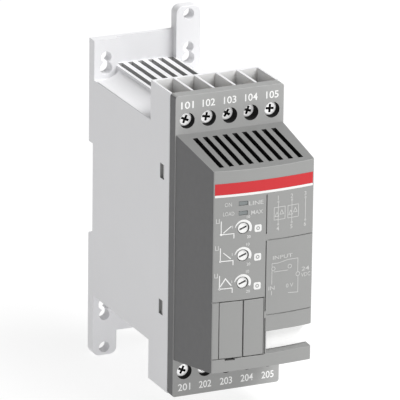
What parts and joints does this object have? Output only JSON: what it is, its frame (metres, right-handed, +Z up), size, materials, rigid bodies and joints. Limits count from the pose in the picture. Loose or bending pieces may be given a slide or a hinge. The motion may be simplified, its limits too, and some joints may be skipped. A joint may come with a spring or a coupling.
{
  "type": "soft starter",
  "caption": "Compact motor soft starter: a light slotted base with rail seat and fixing tabs, a dark vented hood, screw clamp terminal rows, setting dials and status lamps.",
  "frame": {"origin": "on the mounting plane, at the middle of the rail recess", "axes": "+X across the unit to its right, -Y out of the front face, +Z up along the unit"},
  "size_m": [0.045, 0.114, 0.14],
  "materials": {
    "base_plastic": "light grey moulded plastic",
    "hood_plastic": "dark grey moulded plastic",
    "latch_plastic": "dark grey glass-filled plastic",
    "spring_steel": "spring wire",
    "tag_plastic": "white writing tag",
    "board": "green solder mask",
    "sink_metal": "mill finish",
    "transformer": "varnished core and tape",
    "capacitor_sleeve": "shrink sleeve",
    "black_plastic": "black moulded plastic",
    "screw_steel": "zinc plated steel",
    "dial_plastic": "light grey plastic",
    "pot_plastic": "blue moulded plastic",
    "lens_plastic": "smoky clear plastic",
    "led": "clear green",
    "clamp_brass": "plated brass"
  },
  "bodies": {
    "chassis": {"base_housing": "base_plastic", "front_housing": "hood_plastic", "latch_spring": "spring_steel", "blank_cover": "hood_plastic", "function_tag": "tag_plastic", "control_board": "board", "power_board": "board", "link_board": "board", "heat_sink": "sink_metal", "supply_transformer": "transformer", "filter_capacitor": "capacitor_sleeve", "port_connector": "black_plastic", "board_screws": "screw_steel", "potentiometer_1": "pot_plastic", "potentiometer_2": "pot_plastic", "potentiometer_3": "pot_plastic", "light_pipe_1": "lens_plastic", "light_pipe_2": "lens_plastic", "status_led_1": "led", "status_led_2": "led", "thyristor_pack_1": "black_plastic", "thyristor_pack_2": "black_plastic", "bypass_relay_1": "black_plastic", "bypass_relay_2": "black_plastic", "terminal_bar_top_1": "clamp_brass", "terminal_bar_top_2": "clamp_brass", "terminal_bar_top_3": "clamp_brass", "terminal_bar_top_4": "clamp_brass", "terminal_bar_top_5": "clamp_brass", "terminal_bar_bottom_1": "clamp_brass", "terminal_bar_bottom_2": "clamp_brass", "terminal_bar_bottom_3": "clamp_brass", "terminal_bar_bottom_4": "clamp_brass", "terminal_bar_bottom_5": "clamp_brass"},
    "latch": {"rail_latch": "latch_plastic"},
    "cover": {"port_cover": "hood_plastic"},
    "dial_1": {"dial_1": "dial_plastic"},
    "dial_2": {"dial_2": "dial_plastic"},
    "dial_3": {"dial_3": "dial_plastic"},
    "saddle_top_1": {"terminal_saddle_top_1": "clamp_brass"},
    "screw_top_1": {"terminal_screw_top_1": "screw_steel"},
    "saddle_top_2": {"terminal_saddle_top_2": "clamp_brass"},
    "screw_top_2": {"terminal_screw_top_2": "screw_steel"},
    "saddle_top_3": {"terminal_saddle_top_3": "clamp_brass"},
    "screw_top_3": {"terminal_screw_top_3": "screw_steel"},
    "saddle_top_4": {"terminal_saddle_top_4": "clamp_brass"},
    "screw_top_4": {"terminal_screw_top_4": "screw_steel"},
    "saddle_top_5": {"terminal_saddle_top_5": "clamp_brass"},
    "screw_top_5": {"terminal_screw_top_5": "screw_steel"},
    "saddle_bottom_1": {"terminal_saddle_bottom_1": "clamp_brass"},
    "screw_bottom_1": {"terminal_screw_bottom_1": "screw_steel"},
    "saddle_bottom_2": {"terminal_saddle_bottom_2": "clamp_brass"},
    "screw_bottom_2": {"terminal_screw_bottom_2": "screw_steel"},
    "saddle_bottom_3": {"terminal_saddle_bottom_3": "clamp_brass"},
    "screw_bottom_3": {"terminal_screw_bottom_3": "screw_steel"},
    "saddle_bottom_4": {"terminal_saddle_bottom_4": "clamp_brass"},
    "screw_bottom_4": {"terminal_screw_bottom_4": "screw_steel"},
    "saddle_bottom_5": {"terminal_saddle_bottom_5": "clamp_brass"},
    "screw_bottom_5": {"terminal_screw_bottom_5": "screw_steel"}
  },
  "joints": [
    {"name": "dial_1_turn", "type": "hinge", "parent": "chassis", "child": "dial_1", "pos_m": [-0.0088, -0.113, 0.0168], "axis": [0, 1, 0], "range_deg": [-150, 150]},
    {"name": "dial_2_turn", "type": "hinge", "parent": "chassis", "child": "dial_2", "pos_m": [-0.0088, -0.113, 0.006], "axis": [0, 1, 0], "range_deg": [-150, 150]},
    {"name": "dial_3_turn", "type": "hinge", "parent": "chassis", "child": "dial_3", "pos_m": [-0.0088, -0.113, -0.0048], "axis": [0, 1, 0], "range_deg": [-150, 150]},
    {"name": "latch_slide", "type": "slide", "parent": "chassis", "child": "latch", "axis": [0, 0, -1], "range_m": [0, 0.004], "stiffness_N_per_m": 1000, "springref_m": -0.003, "deforming": ["latch_spring"]},
    {"name": "cover_lift", "type": "slide", "parent": "chassis", "child": "cover", "axis": [0, -1, 0], "range_m": [0, 0.012]},
    {"name": "clamp_top_1", "type": "slide", "parent": "chassis", "child": "saddle_top_1", "axis": [0, 1, 0], "range_m": [0, 0.0024]},
    {"name": "screw_top_1_turn", "type": "hinge", "parent": "saddle_top_1", "child": "screw_top_1", "pos_m": [-0.0176, -0.0775, 0.0503], "axis": [0, 1, 0], "range_deg": [0, 1441]},
    {"name": "clamp_top_2", "type": "slide", "parent": "chassis", "child": "saddle_top_2", "axis": [0, 1, 0], "range_m": [0, 0.0024]},
    {"name": "screw_top_2_turn", "type": "hinge", "parent": "saddle_top_2", "child": "screw_top_2", "pos_m": [-0.0088, -0.0775, 0.0503], "axis": [0, 1, 0], "range_deg": [0, 1441]},
    {"name": "clamp_top_3", "type": "slide", "parent": "chassis", "child": "saddle_top_3", "axis": [0, 1, 0], "range_m": [-0.00096, 0.00144]},
    {"name": "screw_top_3_turn", "type": "hinge", "parent": "saddle_top_3", "child": "screw_top_3", "pos_m": [0, -0.0775, 0.0503], "axis": [0, 1, 0], "range_deg": [-577, 865]},
    {"name": "clamp_top_4", "type": "slide", "parent": "chassis", "child": "saddle_top_4", "axis": [0, 1, 0], "range_m": [-0.0012, 0.0012]},
    {"name": "screw_top_4_turn", "type": "hinge", "parent": "saddle_top_4", "child": "screw_top_4", "pos_m": [0.0088, -0.0775, 0.0503], "axis": [0, 1, 0], "range_deg": [-721, 721]},
    {"name": "clamp_top_5", "type": "slide", "parent": "chassis", "child": "saddle_top_5", "axis": [0, 1, 0], "range_m": [0, 0.0024]},
    {"name": "screw_top_5_turn", "type": "hinge", "parent": "saddle_top_5", "child": "screw_top_5", "pos_m": [0.0176, -0.0775, 0.0503], "axis": [0, 1, 0], "range_deg": [0, 1441]},
    {"name": "clamp_bottom_1", "type": "slide", "parent": "chassis", "child": "saddle_bottom_1", "axis": [0, 1, 0], "range_m": [0, 0.0024]},
    {"name": "screw_bottom_1_turn", "type": "hinge", "parent": "saddle_bottom_1", "child": "screw_bottom_1", "pos_m": [-0.0176, -0.0775, -0.0503], "axis": [0, 1, 0], "range_deg": [0, 1441]},
    {"name": "clamp_bottom_2", "type": "slide", "parent": "chassis", "child": "saddle_bottom_2", "axis": [0, 1, 0], "range_m": [0, 0.0024]},
    {"name": "screw_bottom_2_turn", "type": "hinge", "parent": "saddle_bottom_2", "child": "screw_bottom_2", "pos_m": [-0.0088, -0.0775, -0.0503], "axis": [0, 1, 0], "range_deg": [0, 1441]},
    {"name": "clamp_bottom_3", "type": "slide", "parent": "chassis", "child": "saddle_bottom_3", "axis": [0, 1, 0], "range_m": [-0.00096, 0.00144]},
    {"name": "screw_bottom_3_turn", "type": "hinge", "parent": "saddle_bottom_3", "child": "screw_bottom_3", "pos_m": [0, -0.0775, -0.0503], "axis": [0, 1, 0], "range_deg": [-577, 865]},
    {"name": "clamp_bottom_4", "type": "slide", "parent": "chassis", "child": "saddle_bottom_4", "axis": [0, 1, 0], "range_m": [-0.0012, 0.0012]},
    {"name": "screw_bottom_4_turn", "type": "hinge", "parent": "saddle_bottom_4", "child": "screw_bottom_4", "pos_m": [0.0088, -0.0775, -0.0503], "axis": [0, 1, 0], "range_deg": [-721, 721]},
    {"name": "clamp_bottom_5", "type": "slide", "parent": "chassis", "child": "saddle_bottom_5", "axis": [0, 1, 0], "range_m": [0, 0.0024]},
    {"name": "screw_bottom_5_turn", "type": "hinge", "parent": "saddle_bottom_5", "child": "screw_bottom_5", "pos_m": [0.0176, -0.0775, -0.0503], "axis": [0, 1, 0], "range_deg": [0, 1441]}
  ],
  "couplings": [
    {"joint": "screw_top_1_turn", "follows": "clamp_top_1", "rad_per_m": 10472},
    {"joint": "screw_top_2_turn", "follows": "clamp_top_2", "rad_per_m": 10472},
    {"joint": "screw_top_3_turn", "follows": "clamp_top_3", "rad_per_m": 10472},
    {"joint": "screw_top_4_turn", "follows": "clamp_top_4", "rad_per_m": 10472},
    {"joint": "screw_top_5_turn", "follows": "clamp_top_5", "rad_per_m": 10472},
    {"joint": "screw_bottom_1_turn", "follows": "clamp_bottom_1", "rad_per_m": 10472},
    {"joint": "screw_bottom_2_turn", "follows": "clamp_bottom_2", "rad_per_m": 10472},
    {"joint": "screw_bottom_3_turn", "follows": "clamp_bottom_3", "rad_per_m": 10472},
    {"joint": "screw_bottom_4_turn", "follows": "clamp_bottom_4", "rad_per_m": 10472},
    {"joint": "screw_bottom_5_turn", "follows": "clamp_bottom_5", "rad_per_m": 10472}
  ]
}
